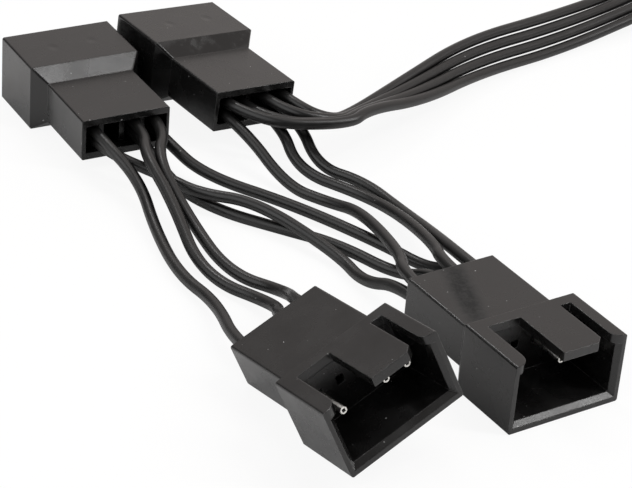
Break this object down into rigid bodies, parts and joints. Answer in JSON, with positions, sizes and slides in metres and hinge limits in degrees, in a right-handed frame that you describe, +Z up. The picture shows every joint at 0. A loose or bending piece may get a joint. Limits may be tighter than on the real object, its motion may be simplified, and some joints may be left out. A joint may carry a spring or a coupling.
{
  "type": "fan splitter cable",
  "caption": "Short black cable that splits a fan header: a flat lead with a female plug feeds a chain of shrouded male pin sockets joined by thin round wires.",
  "frame": {"origin": "on the floor, under the middle of the box round the four sockets", "axes": "+Z up; +Y from the front pair of sockets to the back pair; +X towards the side where the lead leaves"},
  "size_m": [0.1219, 0.0844, 0.0141],
  "materials": {
    "housing": "satin moulded",
    "contact": "bright tin",
    "wire": "satin insulation"
  },
  "bodies": {
    "root": {"socket_housing_1": "housing", "socket_housing_2": "housing", "socket_housing_3": "housing", "socket_housing_4": "housing", "plug_housing": "housing", "pin_1_pwm": "contact", "pin_1_speed": "contact", "pin_1_power": "contact", "pin_1_ground": "contact", "pin_2_pwm": "contact", "pin_2_power": "contact", "pin_2_ground": "contact", "pin_3_pwm": "contact", "pin_3_power": "contact", "pin_3_ground": "contact", "pin_4_pwm": "contact", "pin_4_power": "contact", "pin_4_ground": "contact", "plug_contact_pwm": "contact", "plug_contact_speed": "contact", "plug_contact_power": "contact", "plug_contact_ground": "contact", "link_12_pwm": "wire", "link_12_power": "wire", "link_12_ground": "wire", "link_23_pwm": "wire", "link_23_power": "wire", "link_23_ground": "wire", "link_34_pwm": "wire", "link_34_power": "wire", "link_34_ground": "wire", "lead_pwm": "wire", "lead_speed": "wire", "lead_power": "wire", "lead_ground": "wire"}
  },
  "joints": []
}
